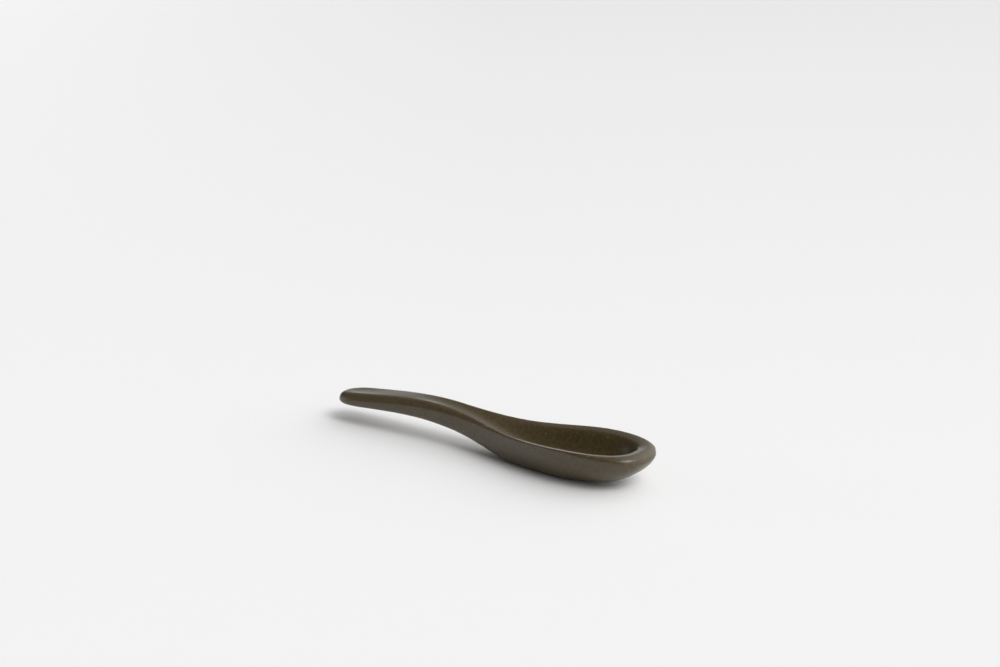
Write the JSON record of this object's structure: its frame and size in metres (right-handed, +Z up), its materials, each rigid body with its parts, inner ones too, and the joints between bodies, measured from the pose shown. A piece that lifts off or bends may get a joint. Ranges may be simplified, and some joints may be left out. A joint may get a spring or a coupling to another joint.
{
  "type": "spoon",
  "caption": "One-piece stoneware spoon: a round-bottomed, boat-shaped bowl on a small flat foot, with a broad glazed lip, drawn out into a low arched handle with a shallow channel.",
  "frame": {"origin": "on the table under the middle of the spoon's length and width", "axes": "+X from the handle's end towards the bowl's nose, +Z up from the foot, +Y to the left of someone looking along +X"},
  "size_m": [0.135, 0.03, 0.0152],
  "materials": {
    "stoneware": "satin, finely mottled grey-brown",
    "glaze": "gloss, dark olive-brown"
  },
  "bodies": {
    "root": {"clay_body": "stoneware", "glaze_lining": "glaze"}
  },
  "joints": []
}
